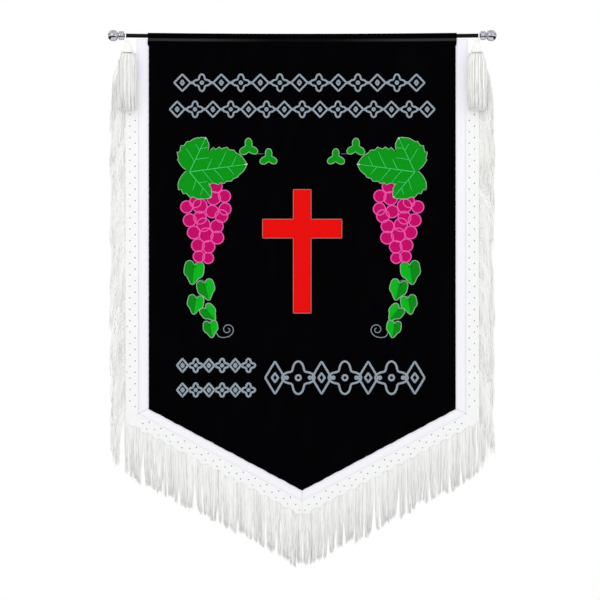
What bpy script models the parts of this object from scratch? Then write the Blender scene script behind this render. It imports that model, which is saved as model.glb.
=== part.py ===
"""Pointed church banner on a hanging rod.

Metres, +Z up, the front faces -Y and +X is to the right of someone who faces the banner.
The origin is midway between the two finials, on their common axis.
"""

import math

import bmesh
import bpy

# Rod and finials
ROD_RADIUS = 0.0040
ROD_DIP = 0.0024  # how far the loaded rod bows down at its middle
COLLAR_START = 0.3490  # inner face of each finial's collar, from the middle
COLLAR_RADIUS = 0.00875
COLLAR_LENGTH = 0.0110
COLLAR_EDGE = 0.0012
SOCKET_DEPTH = 0.0080
NECK_RADIUS = 0.0055
BALL_RADIUS = 0.0110
BALL_CENTRE = 0.0210  # from the collar's inner face

# Velvet field: a pentagon with its point at the bottom
FIELD_HALF = 0.3000
FIELD_CORNER = -0.7315  # height of the two lower corners
FIELD_POINT = -0.8907  # height of the point
VELVET = 0.0015
SLEEVE_EASE = 0.0005  # room between the rod and its sleeve
FLAP_START = -0.0180  # where the sleeve's back meets the field's back
FLAP_END = -0.0300
SLEEVE_ROWS = 10
SLEEVE_STATIONS = 12

# White trims, measured outwards from the field's edge, square to it
SATIN = 0.0010
SATIN_TUCK = 0.0120  # hidden behind the field
SATIN_SIDE = 0.0240
SATIN_BOTTOM = 0.0215
SATIN_TOP = -0.0068
BRAID = 0.0015
BRAID_INNER_SIDE = 0.0206
BRAID_OUTER_SIDE = 0.0450
BRAID_INNER_BOTTOM = 0.0180
BRAID_OUTER_BOTTOM = 0.0430
BRAID_TOP = -0.0340

# Fringe
FRINGE = 0.0030
STRAND_DROP = 0.1060
TUFT_PITCH = 0.0224
TUFT_SPACE = 0.0040
HEADING_DROP = 0.0160  # the strands are still bound together this far down
UNEVEN = 0.0030  # how much the tuft ends differ
SIDE_FRINGE_TOP = -0.0480
SIDE_FRINGE_REACH = 0.3765
SIDE_FRINGE_END = -0.8490
LOCK_PITCH = 0.0780
LOCK_SHAPE = (
    # reach short of the outermost line, drop below the lock's start
    (0.0130, 0.0000),
    (0.0035, 0.0160),
    (0.0000, 0.0450),
    (0.0020, 0.0760),
    (0.0100, 0.0690),
)
LOWEST_LOCK_END = (
    # reach short of the outermost line, height above the fringe's end
    (0.0010, 0.0030),
    (0.0120, -0.0030),
    (0.0312, -0.0060),
)

# Tassels
TASSEL_X = 0.3415
LOOP_X = 0.3460
LOOP_CORD = 0.0030
HEAD_TOP = -0.0107
HEAD_BASE = -0.0330
HEAD_RADIUS = 0.0118
HEAD_FLATNESS = 0.75  # depth as a share of width
HEAD_SHAPE = (
    # share of the radius, share of the way down
    (0.00, 0.00),
    (0.22, 0.00),
    (0.40, 0.16),
    (0.52, 0.38),
    (0.74, 0.66),
    (0.96, 0.92),
    (1.00, 1.00),
    (0.00, 1.00),
)
SKIRT_END = -0.1470
SKIRT_RADIUS = 0.0180
SKIRT_FLATNESS = 0.5
SKIRT_SHAPE = (
    # share of the radius, share of the way down
    (0.00, 0.00),
    (0.62, 0.00),
    (0.86, 0.05),
    (0.98, 0.13),
    (1.00, 0.40),
    (1.00, 0.97),
    (0.94, 1.00),
    (0.00, 1.00),
)

# Cross
CROSS_CLOTH = 0.0010
CROSS_TOP = -0.3013
CROSS_END = -0.5444
CROSS_BAR_TOP = -0.3593
CROSS_BAR_END = -0.3975
CROSS_POST_HALF = 0.0180
CROSS_BAR_HALF = 0.0782

GAP = 0.0003  # between neighbouring pieces
HALF_GAP = 0.0002  # from a mitre or the middle line to each of the two pieces beside it

# Depths of the layers, as the middle plane of each sheet
FIELD_Y = -(ROD_RADIUS + SLEEVE_EASE + VELVET / 2)
FIELD_FRONT = FIELD_Y - VELVET / 2
SATIN_Y = FIELD_Y + VELVET / 2 + GAP + SATIN / 2
FLAP_Y = SATIN_Y + SATIN / 2 + GAP + VELVET / 2
BRAID_Y = SATIN_Y - SATIN / 2 - GAP - BRAID / 2
FRINGE_Y = BRAID_Y
TASSEL_BACK = FRINGE_Y - FRINGE / 2 - GAP
CROSS_Y = FIELD_FRONT - GAP - CROSS_CLOTH / 2

SLOPE = math.atan2(FIELD_CORNER - FIELD_POINT, FIELD_HALF)


def make_collection(name):
    collection = bpy.data.collections.new(name)
    bpy.context.scene.collection.children.link(collection)
    return collection


def make_material(name, colour, roughness, metallic=0.0):
    material = bpy.data.materials.new(name)
    material.use_nodes = True
    shader = material.node_tree.nodes["Principled BSDF"]
    shader.inputs["Base Color"].default_value = (*colour, 1.0)
    shader.inputs["Roughness"].default_value = roughness
    shader.inputs["Metallic"].default_value = metallic
    return material


def add_object(name, data, material, collection):
    data.materials.append(material)
    piece = bpy.data.objects.new(name, data)
    collection.objects.link(piece)
    return piece


def rod_height(x):
    """Height of the rod's axis: level inside the finials, dipping towards the middle."""
    share = min(abs(x), COLLAR_START) / COLLAR_START
    return -ROD_DIP * (1 - share**2)


def point_edge(x, out=0.0):
    """Height at x of the sloping lower edge, moved outwards by out, square to itself."""
    return FIELD_POINT + abs(x) * math.tan(SLOPE) - out / math.cos(SLOPE)


def flat_piece(name, outline, middle_y, thickness, material, collection, side=1):
    """A flat sheet in the XZ plane. The outline is for the right side, and side -1 mirrors it."""
    curve = bpy.data.curves.new(name, "CURVE")
    curve.dimensions = "2D"
    curve.fill_mode = "BOTH"
    curve.extrude = thickness / 2
    spline = curve.splines.new("POLY")
    spline.points.add(len(outline) - 1)
    for point, (x, z) in zip(spline.points, outline[::side]):
        point.co = (side * x, z, 0, 1)
    spline.use_cyclic_u = True
    piece = add_object(name, curve, material, collection)
    piece.rotation_euler = (math.pi / 2, 0, 0)
    piece.location = (0, middle_y, 0)
    return piece


def turned_piece(name, profile, steps, material, collection):
    """A solid of revolution about Z from (radius, height) pairs, listed from top to bottom."""
    mesh = bpy.data.meshes.new(name)
    edges = [(i, i + 1) for i in range(len(profile) - 1)]
    mesh.from_pydata([(radius, 0, height) for radius, height in profile], edges, [])
    piece = add_object(name, mesh, material, collection)
    screw = piece.modifiers.new("turn", "SCREW")
    screw.axis = "Z"
    screw.angle = 2 * math.pi
    screw.steps = steps
    screw.render_steps = steps
    screw.use_merge_vertices = True
    screw.merge_threshold = 0.00001
    screw.use_smooth_shade = True
    return piece


def corded_piece(name, points, radius, sides, material, collection, cyclic=False):
    """A round rod or cord along points; a cyclic one is a closed loop with no ends to cap."""
    curve = bpy.data.curves.new(name, "CURVE")
    curve.dimensions = "3D"
    curve.bevel_depth = radius
    curve.bevel_resolution = sides // 2 - 2
    curve.use_fill_caps = not cyclic
    spline = curve.splines.new("POLY")
    spline.points.add(len(points) - 1)
    for point, place in zip(spline.points, points):
        point.co = (*place, 1)
    spline.use_cyclic_u = cyclic
    spline.use_smooth = True
    return add_object(name, curve, material, collection)


def make_rod(material, collection):
    end = COLLAR_START + SOCKET_DEPTH - GAP
    inner = [COLLAR_START * i / 8 for i in range(-8, 9)]
    points = [(x, 0, rod_height(x)) for x in (-end, *inner, end)]
    corded_piece("rod", points, ROD_RADIUS, 12, material, collection)


def make_finial(name, side, material, collection):
    turn = [math.radians(angle) for angle in range(90, -61, -15)]
    ball = [(BALL_RADIUS * math.cos(a), BALL_CENTRE + BALL_RADIUS * math.sin(a)) for a in turn]
    ball[0] = (0, BALL_CENTRE + BALL_RADIUS)
    socket = ROD_RADIUS + GAP
    collar = [
        (NECK_RADIUS, COLLAR_LENGTH),
        (COLLAR_RADIUS - COLLAR_EDGE, COLLAR_LENGTH),
        (COLLAR_RADIUS, COLLAR_LENGTH - COLLAR_EDGE),
        (COLLAR_RADIUS, COLLAR_EDGE),
        (COLLAR_RADIUS - COLLAR_EDGE, 0),
        (socket, 0),
        (socket, SOCKET_DEPTH),
        (0, SOCKET_DEPTH),
    ]
    piece = turned_piece(name, ball + collar, 24, material, collection)
    piece.location = (side * COLLAR_START, 0, 0)
    piece.rotation_euler = (0, side * math.pi / 2, 0)


def sleeve_path():
    """The cloth's middle line beside the rod as (y, z): up the front, over the rod and down to the flap."""
    over = [math.pi * i / SLEEVE_ROWS for i in range(SLEEVE_ROWS + 1)]
    path = [(FIELD_Y * math.cos(a), -FIELD_Y * math.sin(a)) for a in over]
    for i in range(1, 7):
        t = i / 6
        ease = t * t * (3 - 2 * t)
        path.append((-FIELD_Y + (FLAP_Y + FIELD_Y) * ease, FLAP_START * t))
    return path + [(FLAP_Y, FLAP_END)]


def make_field(material, collection):
    """One piece of velvet: the pentagon, and its top turned back over the rod as a hem sleeve."""
    path = [(FIELD_Y, FIELD_POINT), (FIELD_Y, FLAP_END)] + sleeve_path()
    bm = bmesh.new()
    row = [bm.verts.new((-FIELD_HALF, y, z)) for y, z in path]
    edges = [bm.edges.new(pair) for pair in zip(row, row[1:])]
    for _ in range(SLEEVE_STATIONS):
        made = bmesh.ops.extrude_edge_only(bm, edges=edges)["geom"]
        edges = [part for part in made if isinstance(part, bmesh.types.BMEdge)]
        moved = [part for part in made if isinstance(part, bmesh.types.BMVert)]
        bmesh.ops.translate(bm, verts=moved, vec=(2 * FIELD_HALF / SLEEVE_STATIONS, 0, 0))
    for vert in bm.verts:
        if vert.co.z < FIELD_CORNER:
            vert.co.z = point_edge(vert.co.x)
        else:
            vert.co.z += rod_height(vert.co.x)
    bmesh.ops.recalc_face_normals(bm, faces=bm.faces)
    mesh = bpy.data.meshes.new("field")
    bm.to_mesh(mesh)
    bm.free()
    piece = add_object("field", mesh, material, collection)
    wall = piece.modifiers.new("velvet", "SOLIDIFY")
    wall.thickness = VELVET
    wall.offset = 0
    wall.use_even_offset = True


def strip_pair(stem, top, side_out, bottom_out, y, thickness, material, collection):
    """Mitred strips beside the field and along its point, each from an inner to an outer distance."""
    near, far = (FIELD_HALF + out for out in side_out)
    corner_near = point_edge(near, bottom_out[0])
    corner_far = point_edge(far, bottom_out[1])
    upright = [
        (near, top),
        (near, corner_near + HALF_GAP),
        (far, corner_far + HALF_GAP),
        (far, top),
    ]
    slanting = [
        (near, corner_near - HALF_GAP),
        (HALF_GAP, point_edge(HALF_GAP, bottom_out[0])),
        (HALF_GAP, point_edge(HALF_GAP, bottom_out[1])),
        (far, corner_far - HALF_GAP),
    ]
    for label, side in (("left", -1), ("right", 1)):
        flat_piece(f"{stem}_{label}", upright, y, thickness, material, collection, side)
        flat_piece(f"{stem}_point_{label}", slanting, y, thickness, material, collection, side)


def tuft_end(index):
    """How far the end of a tuft differs from the even line."""
    return UNEVEN * math.sin(2.1 * index) * math.cos(0.9 * index)


def point_fringe_outline():
    """A comb below the sloping braid: bound along the top, then one tooth for each tuft."""
    inner = HALF_GAP
    outer = FIELD_HALF + BRAID_OUTER_SIDE - GAP
    top = BRAID_OUTER_BOTTOM + GAP
    outline = [(outer, point_edge(outer, top)), (inner, point_edge(inner, top))]
    tufts = round((outer - inner) / TUFT_PITCH)
    pitch = (outer - inner) / tufts
    for i in range(tufts):
        start = inner + i * pitch + (TUFT_SPACE / 2 if i else 0)
        end = inner + (i + 1) * pitch - (TUFT_SPACE / 2 if i < tufts - 1 else 0)
        if i:
            outline.append((start, point_edge(start, top) - HEADING_DROP))
        drop = STRAND_DROP + tuft_end(i)
        outline.append((start, point_edge(start, top) - drop))
        outline.append((end, point_edge(end, top) - drop))
        if i < tufts - 1:
            outline.append((end, point_edge(end, top) - HEADING_DROP))
    return outline


def side_fringe_outline():
    """Strands that leave an upright edge and fall: overlapping locks with their ends outside."""
    inner = FIELD_HALF + BRAID_OUTER_SIDE + GAP
    outline = [(inner, SIDE_FRINGE_TOP)]
    count = math.floor((SIDE_FRINGE_TOP - FIELD_CORNER) / LOCK_PITCH)
    for i in range(count):
        top = SIDE_FRINGE_TOP - i * LOCK_PITCH
        outline += [(SIDE_FRINGE_REACH - short, top - drop) for short, drop in LOCK_SHAPE]
    last = SIDE_FRINGE_TOP - count * LOCK_PITCH
    outline += [(SIDE_FRINGE_REACH - short, last - drop) for short, drop in LOCK_SHAPE[:3]]
    outline += [
        (SIDE_FRINGE_REACH - short, SIDE_FRINGE_END + rise) for short, rise in LOWEST_LOCK_END
    ]
    return outline[::-1]


def make_fringes(material, collection):
    outlines = {"fringe": side_fringe_outline(), "fringe_point": point_fringe_outline()}
    for stem, outline in outlines.items():
        for label, side in (("left", -1), ("right", 1)):
            name = f"{stem}_{label}"
            flat_piece(name, outline, FRINGE_Y, FRINGE, material, collection, side)


def tassel_loop(centre_y):
    """A closed cord over the rod, whose two sides meet above the tassel's head, which leans forward."""
    over = ROD_RADIUS + SLEEVE_EASE + LOOP_CORD / 2
    foot = HEAD_TOP + LOOP_CORD / 2 + GAP
    arc = [math.pi * i / 10 for i in range(11)]
    loop = [(0, -over * math.cos(a), over * math.sin(a)) for a in arc]
    return loop + [
        (0, over / 2, foot * 0.75),
        (0, centre_y + over, foot),
        (0, centre_y, foot),
        (0, centre_y + over * 0.3, foot + over * 0.3),
    ]


def make_tassel(label, side, thread, collection):
    """A loop over the rod, a bound head and a full skirt, flattened where it lies on the braid."""
    centre_y = TASSEL_BACK - SKIRT_RADIUS * SKIRT_FLATNESS
    name = f"tassel_loop_{label}"
    loop = tassel_loop(centre_y)
    cord = corded_piece(name, loop, LOOP_CORD / 2, 8, thread, collection, cyclic=True)
    cord.location = (side * LOOP_X, 0, rod_height(LOOP_X))
    parts = (
        ("head", HEAD_SHAPE, HEAD_RADIUS, HEAD_TOP, HEAD_BASE, HEAD_FLATNESS),
        ("skirt", SKIRT_SHAPE, SKIRT_RADIUS, HEAD_BASE - GAP, SKIRT_END, SKIRT_FLATNESS),
    )
    for kind, shape, radius, top, base, flatness in parts:
        profile = [(share * radius, top + down * (base - top)) for share, down in shape]
        piece = turned_piece(f"tassel_{kind}_{label}", profile, 24, thread, collection)
        piece.scale = (1, flatness, 1)
        piece.location = (side * TASSEL_X, centre_y, 0)


def make_cross(material, collection):
    post, bar = CROSS_POST_HALF, CROSS_BAR_HALF
    outline = [
        (post, CROSS_END),
        (post, CROSS_BAR_END),
        (bar, CROSS_BAR_END),
        (bar, CROSS_BAR_TOP),
        (post, CROSS_BAR_TOP),
        (post, CROSS_TOP),
    ]
    outline += [(-x, z) for x, z in outline[::-1]]
    flat_piece("cross", outline, CROSS_Y, CROSS_CLOTH, material, collection)


def main():
    for thing in list(bpy.data.objects):
        bpy.data.objects.remove(thing, do_unlink=True)
    banner = make_collection("church_banner")
    black_paint = make_material("black_paint", (0.006, 0.006, 0.007), 0.25)
    chrome = make_material("chrome", (0.72, 0.72, 0.74), 0.12, 1.0)
    velvet = make_material("black_velvet", (0.0012, 0.0012, 0.0018), 0.95)
    satin = make_material("white_satin", (0.93, 0.93, 0.95), 0.4)
    thread = make_material("white_thread", (0.80, 0.80, 0.79), 0.7)
    red_cloth = make_material("red_cloth", (0.79, 0.004, 0.003), 0.6)

    make_rod(black_paint, banner)
    make_field(velvet, banner)
    strip_pair(
        "border",
        SATIN_TOP,
        (-SATIN_TUCK, SATIN_SIDE),
        (-SATIN_TUCK, SATIN_BOTTOM),
        SATIN_Y,
        SATIN,
        satin,
        banner,
    )
    strip_pair(
        "braid",
        BRAID_TOP,
        (BRAID_INNER_SIDE, BRAID_OUTER_SIDE),
        (BRAID_INNER_BOTTOM, BRAID_OUTER_BOTTOM),
        BRAID_Y,
        BRAID,
        thread,
        banner,
    )
    make_fringes(thread, banner)
    make_cross(red_cloth, banner)
    for label, side in (("left", -1), ("right", 1)):
        make_finial(f"finial_{label}", side, chrome, banner)
        make_tassel(label, side, thread, banner)


main()
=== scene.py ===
"""Looks of a pointed church banner: black velvet on a rod, satin and braid edges, fringe, tassels
and a stitched vine on each side of a red cross. Metres, +Z up, the front faces -Y."""

import math
import random

import bmesh
import bpy
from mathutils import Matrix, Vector, noise


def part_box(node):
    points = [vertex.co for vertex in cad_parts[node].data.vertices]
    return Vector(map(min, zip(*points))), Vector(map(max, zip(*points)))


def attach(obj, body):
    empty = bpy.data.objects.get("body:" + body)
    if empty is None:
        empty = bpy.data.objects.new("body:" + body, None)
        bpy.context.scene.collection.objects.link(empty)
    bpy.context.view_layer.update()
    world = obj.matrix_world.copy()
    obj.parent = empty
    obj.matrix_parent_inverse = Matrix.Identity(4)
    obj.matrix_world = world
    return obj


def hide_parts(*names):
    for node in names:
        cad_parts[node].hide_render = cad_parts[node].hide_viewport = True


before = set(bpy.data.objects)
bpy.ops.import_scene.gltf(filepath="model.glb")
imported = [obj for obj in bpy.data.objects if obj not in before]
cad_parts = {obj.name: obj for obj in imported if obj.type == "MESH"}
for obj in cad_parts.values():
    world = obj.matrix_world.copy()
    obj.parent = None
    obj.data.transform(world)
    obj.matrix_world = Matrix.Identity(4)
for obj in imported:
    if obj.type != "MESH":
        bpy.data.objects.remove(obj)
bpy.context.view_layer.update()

# Rod and finials
ROD_RADIUS = 0.0040
ROD_DIP = 0.0024
ROD_IN_SOCKET = 0.0077
COLLAR_START = 0.3490
COLLAR_RADIUS = 0.00875
NECK_RADIUS = 0.0055
BALL_RADIUS = 0.0110
BALL_CENTRE = 0.0210

# Velvet field
FIELD_HALF = 0.3000
FIELD_CORNER = -0.7315
FIELD_POINT = -0.8907
SLOPE = math.atan2(FIELD_CORNER - FIELD_POINT, FIELD_HALF)
VELVET = 0.0015
FIELD_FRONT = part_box("field")[0].y
FIELD_Y = FIELD_FRONT + VELVET / 2
FLAP_Y = -0.00215
FLAP_START = -0.0180
FLAP_END = -0.0300
SLEEVE_SEAM = -0.0235

# Trims, measured outwards from the field's edge
SATIN_TUCK = 0.0120
SATIN_SIDE = 0.0240
SATIN_BOTTOM = 0.0215
SATIN_TOP = -0.0068
SATIN_Y = -0.0037
BRAID_SIDE = (0.0206, 0.0462)
BRAID_BOTTOM = (0.0180, 0.0446)
BRAID_TOP = -0.0340
BRAID_FRONT = -0.0060
SIDE_PITCH = 0.0224
POINT_PITCH = 0.0230
ARCH_HALF = 0.0082  # half the width of each scallop in the point braid
EYELET = 0.00165
EYELET_DEPTH = 0.0011
FIRST_EYELET = -0.0546

# Fringe and tassels
STRAND_DROP = 0.1060
SIDE_FRINGE_TOP = -0.0480
SIDE_FRINGE_REACH = 0.3765
TASSEL_X = 0.3415
TASSEL_Y = -0.01605
LOOP_X = 0.3460
HEAD_TOP = -0.0107
HEAD_BASE = -0.0330
HEAD_RADIUS = 0.0118
HEAD_FLATNESS = 0.75
SKIRT_END = -0.1470
SKIRT_RADIUS = 0.0180

# Cross
CROSS_TOP = -0.3013
CROSS_END = -0.5444
CROSS_BAR_TOP = -0.3593
CROSS_BAR_END = -0.3975
CROSS_POST_HALF = 0.0180
CROSS_BAR_HALF = 0.0782

# Silver ornament: its cords are sunk only part of the way into the pile
ORNAMENT_LIFT = 0.0016


# ---------------------------------------------------------------- shapes of the hanging cloth


def rod_height(x):
    share = min(abs(x), COLLAR_START) / COLLAR_START
    return -ROD_DIP * (1 - share**2)


def point_edge(x, out=0.0):
    """Height at x of the sloping lower edge, moved outwards by out, square to itself."""
    return FIELD_POINT + abs(x) * math.tan(SLOPE) - out / math.cos(SLOPE)


def smooth(value, start, end):
    share = min(max((value - start) / (end - start), 0), 1)
    return share * share * (3 - 2 * share)


def edge_distance(x, z):
    """How far inside the velvet's edge a place is; negative outside it."""
    below = (z - point_edge(x)) * math.cos(SLOPE)
    return min(FIELD_HALF - abs(x), below)


def settle(x, z):
    """How far forward or back the hung cloth lies at a place on its front."""
    share = smooth(-z, 0.14, 0.85)
    curl = 0.0024 * share * math.sin(3.1 * x + 0.6) * math.cos(4.0 * (z + 0.2))
    body = smooth(edge_distance(x, z), 0.004, 0.06) * smooth(-z, 0.03, 0.12)
    fold = 0.0009 * noise.noise(Vector((4.2 * x, 1.7 * z, 3.0)))
    ripple = 0.00035 * noise.noise(Vector((19 * x, 9 * z, 8.0)))
    return curl + body * (fold + ripple - 0.0006)


# ---------------------------------------------------------------- materials


def shade(red, green, blue):
    """A linear colour from the usual 0 to 255 values."""
    return tuple(
        c / 255 / 12.92 if c < 11 else ((c / 255 + 0.055) / 1.055) ** 2.4
        for c in (red, green, blue)
    )


class Sock:
    """A shader output that arithmetic can be written on."""

    def __init__(self, nodes, socket):
        self.nodes, self.socket = nodes, socket

    def maths(self, operation, *values):
        return self.nodes.node("Math", {"operation": operation}, dict(enumerate(values)))

    def __add__(self, other):
        return self.maths("ADD", self, other)

    def __sub__(self, other):
        return self.maths("SUBTRACT", self, other)

    def __rsub__(self, other):
        return self.maths("SUBTRACT", other, self)

    def __mul__(self, other):
        return self.maths("MULTIPLY", self, other)

    def __pow__(self, other):
        return self.maths("POWER", self, other)

    def __abs__(self):
        return self.maths("ABSOLUTE", self)

    __radd__ = __add__
    __rmul__ = __mul__

    def sine(self):
        return self.maths("SINE", self)


class Nodes:
    """A shader tree. Every node comes from node(): its type, its settings, then its sockets."""

    def __init__(self, tree):
        self.tree = tree

    def give(self, node, key, value):
        sockets = [socket for socket in node.inputs if socket.enabled]
        if isinstance(key, int):
            socket = sockets[key]
        else:
            socket = next(s for s in sockets if s.name.lower() == key.lower())
        if isinstance(value, Sock):
            self.tree.links.new(value.socket, socket)
        elif socket.type == "RGBA" and len(value) == 3:
            socket.default_value = (*value, 1)
        else:
            socket.default_value = value

    def node(self, kind, settings=None, values=None, output=0):
        node = self.tree.nodes.new("ShaderNode" + kind)
        for key, value in (settings or {}).items():
            if key == "stops":
                stops = node.color_ramp.elements
                while len(stops) < len(value):
                    stops.new(0.5)
                for stop, (place, colour) in zip(stops, value):
                    stop.position, stop.color = place, (*colour, 1)
            else:
                setattr(node, key, value)
        for key, value in (values or {}).items():
            self.give(node, key, value)
        outputs = [socket for socket in node.outputs if socket.enabled]
        if not outputs:
            return None
        if isinstance(output, str):
            return Sock(self, next(s for s in outputs if s.name == output))
        return Sock(self, outputs[output])

    def axes(self, vector):
        parts = self.node("SeparateXYZ", values={0: vector})
        return [Sock(self, socket) for socket in parts.socket.node.outputs]


class Finish(Nodes):
    """One material. Its constants go straight on the shader."""

    def __init__(self, name, **constants):
        self.material = bpy.data.materials.new(name)
        self.material.use_nodes = True
        super().__init__(self.material.node_tree)
        self.shader = self.tree.nodes["Principled BSDF"]
        self.use(**constants)

    def use(self, **sockets):
        for key, value in sockets.items():
            self.give(self.shader, key.replace("_", " "), value)
        return self

    def where(self, kind="Object"):
        return self.node("TexCoord", output=kind)

    def stretched(self, vector, scale):
        return self.node("VectorMath", {"operation": "MULTIPLY"}, {0: vector, 1: scale})

    def grain(self, vector, scale, detail=2.0, rough=0.5):
        values = {"Vector": vector, "Scale": scale, "Detail": detail, "Roughness": rough}
        return self.node("TexNoise", values=values)

    def fade(self, value, start, end):
        values = {"Value": value, "From Min": start, "From Max": end}
        return self.node("MapRange", {"interpolation_type": "SMOOTHSTEP"}, values)

    def mix(self, share, first, second):
        values = {"Factor": share, "A": first, "B": second}
        return self.node("Mix", {"data_type": "RGBA"}, values)

    def raised(self, height, strength, distance):
        values = {"Height": height, "Strength": strength, "Distance": distance}
        return self.use(normal=self.node("Bump", values=values)).material


def velvet_pile():
    f = Finish("black_velvet_pile", roughness=1.0, specular_ior_level=0.0)
    f.use(sheen_weight=0.012, sheen_roughness=0.45)
    place = f.where()
    x, _, z = f.axes(place)
    fibres = f.grain(place, 1400, 2)
    nap = f.grain(f.stretched(place, (26, 26, 9)), 1, 3)
    deep = f.mix(fibres, shade(1, 1, 2), shade(5, 5, 7))
    deep = f.mix(f.fade(nap, 0.45, 0.8) * 0.4, deep, shade(8, 8, 10))
    # Painted sheen: a lighter grey band on the velvet just under the rod, faint in the middle and brighter
    # towards the ends, stands in for light catching the sleeve's seam.
    below = z + 0.0024 * (1 - (x * (1 / COLLAR_START)) ** 2)
    strip = f.fade(below, -0.0112, -0.0088) * (1 - f.fade(below, -0.0062, -0.0042))
    strip = strip * (0.12 + 0.88 * f.fade(abs(x), 0.04, 0.24)) * (0.7 + 0.5 * fibres)
    f.use(base_color=f.mix(strip, deep, shade(50, 49, 51)))
    return f.raised(fibres + nap * 0.5, 0.5, 0.0005)


def velvet_ground():
    f = Finish("black_ground_weave", roughness=0.85, specular_ior_level=0.2)
    place = f.where()
    x, _, z = f.axes(place)
    weave = (x * 5200).sine() * (z * 5200).sine()
    cloudy = f.grain(place, 30, 3)
    f.use(base_color=f.mix(cloudy * 0.7 + weave * 0.15, shade(15, 15, 17), shade(34, 34, 37)))
    return f.raised(weave * 0.5 + f.grain(place, 1500), 0.5, 0.0003)


def white_satin():
    f = Finish("white_satin", roughness=0.42, specular_ior_level=0.35)
    place = f.where()
    x, _, z = f.axes(place)
    threads = f.grain(f.stretched(place, (700, 700, 3200)), 1, 2)
    cloudy = f.grain(place, 22, 2)
    high = f.fade(z, -0.22, -0.02)
    white = f.mix(cloudy, shade(248, 247, 252), shade(243, 242, 249))
    white = f.mix(high * 0.5, white, shade(238, 240, 250))
    f.use(base_color=f.mix(f.fade(threads, 0.3, 0.5) * 0.06, white, shade(214, 213, 224)))
    return f.raised(threads + cloudy * 0.6, 0.35, 0.0004)


def white_braid():
    f = Finish("white_braid", roughness=0.62, specular_ior_level=0.25)
    u, v, _ = f.axes(f.where("UV"))
    ribs = abs((u * 4200).sine())
    chevron = (v * 3300 + 2.2 * (u * 1050).sine()).sine()
    well = f.node("Attribute", {"attribute_name": "well"}, output="Fac")
    fluff = f.grain(f.where(), 900, 2)
    white = f.mix(fluff, shade(252, 252, 252), shade(243, 244, 244))
    white = f.mix((1 - ribs) * 0.10 + 0.04 * chevron + 0.04, white, shade(200, 202, 203))
    # Painted shade: each eyelet's well is painted grey down its sides and darkest at its bottom.
    f.use(base_color=f.mix(f.fade(well, 0.25, 0.9), white, shade(112, 116, 118)))
    return f.raised(ribs * 0.6 + chevron * 0.3 + fluff * 0.3, 0.5, 0.0003)


def thread_finish(name, light, dark, twist=60.0):
    """Twisted thread: slanting plies along each strand, and strands that differ a little."""
    f = Finish(name, roughness=0.66, specular_ior_level=0.2)
    u, v, _ = f.axes(f.where("UV"))
    ply = (u * (2 * math.pi * twist) + v * (4 * math.pi)).sine()
    place = f.where()
    lock = f.grain(f.stretched(place, (90, 90, 5)), 1, 2)
    fibre = f.grain(f.stretched(place, (2500, 2500, 500)), 1, 2)
    share = f.fade(lock, 0.3, 0.7) * 0.6 + ply * 0.12 + fibre * 0.3
    f.use(base_color=f.mix(share, light, dark))
    return f.raised(ply * 0.5 + fibre * 0.5, 0.4, 0.0002)


def black_paint():
    f = Finish("black_gloss_paint", base_color=shade(7, 7, 8), specular_ior_level=0.12)
    f.use(coat_weight=0.08, coat_roughness=0.12)
    place = f.where()
    runs = f.grain(f.stretched(place, (30, 220, 220)), 1, 3)
    f.use(base_color=f.mix(runs, shade(3, 3, 4), shade(12, 12, 14)), roughness=0.22 + runs * 0.2)
    return f.raised(runs, 0.15, 0.0004)


def bright_chrome():
    f = Finish("bright_chrome", metallic=1.0)
    place = f.where()
    scuffs = f.grain(f.stretched(place, (1600, 300, 300)), 1, 4, 0.7)
    haze = f.grain(place, 120, 2)
    f.use(base_color=f.mix(haze, shade(222, 222, 228), shade(196, 196, 206)))
    f.use(roughness=0.05 + 0.10 * f.fade(scuffs, 0.5, 0.75) + 0.03 * haze)
    return f.raised(scuffs, 0.08, 0.0001)


def stitched(name, light, dark, lie=(1.0, 0.35), pitch=0.00045, gloss=0.06):
    """Satin stitch on Object coordinates: even threads that lie along one direction."""
    f = Finish(name, roughness=0.5, specular_ior_level=gloss)
    place = f.where()
    x, _, z = f.axes(place)
    across = (z * lie[0] - abs(x) * lie[1]) * (2 * math.pi / pitch)
    thread = across.sine()
    patchy = f.grain(place, 160, 3)
    fibre = f.grain(place, 2600, 2)
    share = 0.35 * patchy + 0.22 * (1 - thread) + 0.25 * fibre
    f.use(base_color=f.mix(share, light, dark))
    return f.raised(thread * 0.6 + fibre * 0.4, 0.45, 0.00025)


def corded(name, light, dark, turns=0.0016):
    """A couched cord: slanting plies from its own UV map."""
    f = Finish(name, roughness=0.6, specular_ior_level=0.12)
    u, v, _ = f.axes(f.where("UV"))
    ply = (u * (2 * math.pi / turns) + v * (4 * math.pi)).sine()
    fibre = f.grain(f.where(), 2200, 2)
    f.use(base_color=f.mix(0.3 + 0.3 * ply * fibre + 0.3 * fibre, light, dark))
    return f.raised(ply * 0.6 + fibre * 0.3, 0.5, 0.0003)


def floor_finish():
    f = Finish("pale_floor", roughness=0.9, specular_ior_level=0.05)
    cloudy = f.grain(f.where(), 6, 4)
    return f.use(base_color=f.mix(cloudy, shade(238, 238, 238), shade(230, 230, 231))).material


# ---------------------------------------------------------------- making and placing pieces


def lay_piece(name, mesh, materials, replaces=()):
    """Adds a finished mesh as a piece of the banner, at the origin, on its one body."""
    for material in materials:
        mesh.materials.append(material)
    mesh.polygons.foreach_set("use_smooth", [True] * len(mesh.polygons))
    piece = bpy.data.objects.new(name, mesh)
    bpy.context.scene.collection.objects.link(piece)
    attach(piece, "root")
    if replaces:
        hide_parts(*replaces)
    return piece


def finish_mesh(name, bm):
    bmesh.ops.remove_doubles(bm, verts=bm.verts, dist=0.000002)
    bmesh.ops.recalc_face_normals(bm, faces=bm.faces)
    mesh = bpy.data.meshes.new(name)
    bm.to_mesh(mesh)
    bm.free()
    return mesh


def wall(piece, thickness, offset=-1.0, rim=None, back=None):
    solid = piece.modifiers.new("cloth", "SOLIDIFY")
    solid.thickness = thickness
    solid.offset = offset
    if back is not None:
        solid.material_offset = back
        solid.material_offset_rim = rim
    return piece


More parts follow.
